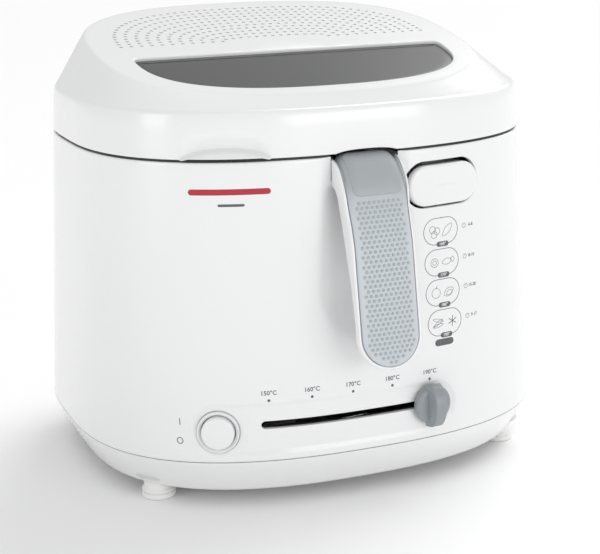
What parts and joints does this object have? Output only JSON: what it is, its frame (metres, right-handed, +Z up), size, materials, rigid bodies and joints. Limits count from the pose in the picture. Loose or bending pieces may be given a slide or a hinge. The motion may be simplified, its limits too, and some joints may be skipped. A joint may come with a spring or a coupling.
{
  "type": "deep fryer",
  "caption": "Compact domestic deep fryer: fixed oil bowl, hinged vented lid with a window, fold-down basket handle, push button and linear temperature slider.",
  "frame": {"origin": "centre of the bounding box, on the surface that the feet stand on", "axes": "+Z up, -Y towards the front with the handle and controls, +X to the right when facing the front"},
  "size_m": [0.3044, 0.3022, 0.2801],
  "materials": {
    "white_gloss": "glossy white moulded plastic",
    "grey_grip": "cool grey satin plastic",
    "grey_knob": "cool grey semi-gloss plastic",
    "black_plastic": "black matt plastic",
    "dark_plastic": "dark grey plastic",
    "cream_plastic": "natural nylon",
    "smoked_glass": "smoked viewing pane",
    "rubber_grey": "grey silicone rubber",
    "foot_white": "white non-slip rubber",
    "steel": "brushed stainless steel",
    "chromed": "bright chromed wire",
    "nonstick": "dark non-stick coated aluminium",
    "element_steel": "dull oxidised heating tube"
  },
  "bodies": {
    "fryer": {"body_shell": "white_gloss", "base_cover": "white_gloss", "foot_pads": "foot_white", "base_screws": "steel", "bowl_collar": "white_gloss", "handle_well": "white_gloss", "oil_bowl": "nonstick", "heating_element": "element_steel", "element_clamp": "steel", "heat_shield": "steel", "safety_cutout": "black_plastic", "thermostat_body": "steel", "thermostat_bracket": "steel", "slider_rail": "dark_plastic", "slot_liner": "black_plastic", "power_bezel": "white_gloss", "power_spring": "steel", "switch_body": "black_plastic", "release_spring": "steel", "latch_pin": "steel", "latch_bracket": "steel", "terminal_block": "cream_plastic", "cord_gland": "dark_plastic", "hinge_bracket": "dark_plastic", "hinge_pin": "steel"},
    "lid": {"lid_shell": "white_gloss", "lid_window": "smoked_glass", "window_gasket": "rubber_grey", "filter_cassette": "steel", "lid_inner_panel": "steel", "lid_seal": "rubber_grey", "lid_screws": "steel", "lid_striker": "steel", "lid_hinge_arm": "dark_plastic"},
    "basket": {"basket_mesh": "chromed", "basket_rim": "chromed", "basket_hanger": "steel", "handle_pivot_pin": "steel"},
    "handle": {"handle_shell": "white_gloss", "handle_grip": "grey_grip"},
    "thumb": {"thumb_slide": "grey_grip"},
    "slider": {"slider_carriage": "cream_plastic", "temperature_knob": "grey_knob"},
    "thermostat_shaft": {"thermostat_pinion": "cream_plastic"},
    "power_cap": {"power_button": "white_gloss"},
    "release_cap": {"release_button": "white_gloss"},
    "latch": {"latch_lever": "steel"}
  },
  "joints": [
    {"name": "lid_open", "type": "hinge", "parent": "fryer", "child": "lid", "pos_m": [0, 0.1464, 0.2076], "axis": [-1, 0, 0], "range_deg": [0, 85]},
    {"name": "basket_lift", "type": "slide", "parent": "fryer", "child": "basket", "axis": [0, 0, 1], "range_m": [0, 0.004]},
    {"name": "handle_fold", "type": "hinge", "parent": "basket", "child": "handle", "pos_m": [0, -0.1149, 0.183], "axis": [-1, 0, 0], "range_deg": [0, 81]},
    {"name": "thumb_slide_move", "type": "hinge", "parent": "handle", "child": "thumb", "pos_m": [0, -0.1149, 0.183], "axis": [-1, 0, 0], "range_deg": [0, 12], "stiffness_Nm_per_rad": 0.02},
    {"name": "temperature_slide", "type": "hinge", "parent": "fryer", "child": "slider", "pos_m": [0.0025, 0.2299, 0.0534], "axis": [0, 0, -1], "range_deg": [0, 16.5]},
    {"name": "thermostat_turn", "type": "hinge", "parent": "fryer", "child": "thermostat_shaft", "pos_m": [0.00034, -0.08009, 0.07], "axis": [0, 0, -1], "range_deg": [0, 272.5]},
    {"name": "power_press", "type": "slide", "parent": "fryer", "child": "power_cap", "axis": [0.4226, 0.9063, 0], "range_m": [0, 0.003], "stiffness_N_per_m": 300, "deforming": ["power_spring"]},
    {"name": "release_press", "type": "slide", "parent": "fryer", "child": "release_cap", "axis": [-0.1805, 0.9836, 0], "range_m": [0, 0.003], "stiffness_N_per_m": 300, "deforming": ["release_spring"]},
    {"name": "latch_swing", "type": "hinge", "parent": "fryer", "child": "latch", "pos_m": [0.04842, -0.10269, 0.184], "axis": [0.9836, 0.1805, 0], "range_deg": [0, 12.1]}
  ],
  "couplings": [
    {"joint": "thermostat_turn", "follows": "temperature_slide", "ratio": 16.5},
    {"joint": "latch_swing", "follows": "release_press", "rad_per_m": 70}
  ]
}
